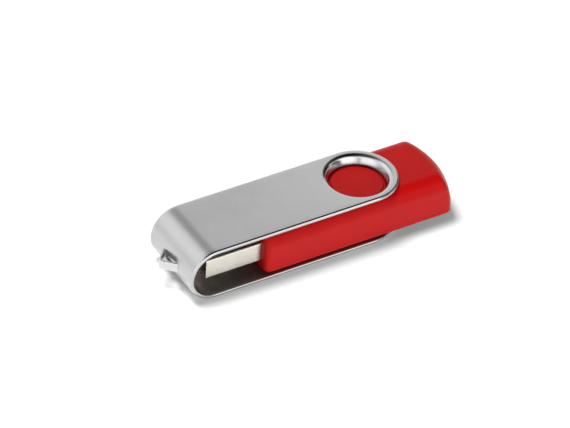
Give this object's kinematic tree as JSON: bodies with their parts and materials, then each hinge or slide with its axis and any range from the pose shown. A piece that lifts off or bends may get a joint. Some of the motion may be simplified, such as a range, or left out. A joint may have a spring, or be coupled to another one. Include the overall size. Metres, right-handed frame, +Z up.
{
  "type": "usb flash drive",
  "caption": "USB flash drive whose folded steel cover swivels about a round button and shields the plug, with a key loop at the bend.",
  "frame": {"origin": "centre of the overall box, on the surface that the lower leg of the cover lies on", "axes": "+X from the key loop to the rounded rear end, +Z up through the thickness, +Y across"},
  "size_m": [0.0636, 0.016, 0.0115],
  "materials": {
    "cover_steel": "fine satin, drawn collars polished",
    "body_plastic": "red, semi-gloss moulded",
    "plug_nickel": "nickel plate, smooth",
    "tongue_plastic": "off-white insulator",
    "contact_gold": "gold plate",
    "board_laminate": "green solder mask",
    "chip_epoxy": "black moulding compound",
    "crystal_can": "drawn can",
    "led_lens": "pale epoxy lens",
    "resistor_film": "black film on ceramic",
    "capacitor_ceramic": "brown ceramic"
  },
  "bodies": {
    "drive": {"upper_shell": "body_plastic", "lower_shell": "body_plastic", "plug_shell": "plug_nickel", "plug_tongue": "tongue_plastic", "plug_contact_1": "contact_gold", "plug_contact_2": "contact_gold", "plug_contact_3": "contact_gold", "plug_contact_4": "contact_gold", "circuit_board": "board_laminate", "memory_chip": "chip_epoxy", "controller_chip": "chip_epoxy", "voltage_regulator": "chip_epoxy", "crystal": "crystal_can", "activity_led": "led_lens", "resistor_1": "resistor_film", "resistor_2": "resistor_film", "resistor_3": "resistor_film", "resistor_4": "resistor_film", "capacitor_1": "capacitor_ceramic", "capacitor_2": "capacitor_ceramic", "capacitor_3": "capacitor_ceramic", "capacitor_4": "capacitor_ceramic", "capacitor_5": "capacitor_ceramic", "capacitor_6": "capacitor_ceramic"},
    "cover": {"swivel_cover": "cover_steel"}
  },
  "joints": [
    {"name": "cover_swivel", "type": "hinge", "parent": "drive", "child": "cover", "pos_m": [0.01245, 0, 0.00575], "axis": [0, 0, 1], "continuous": true}
  ]
}
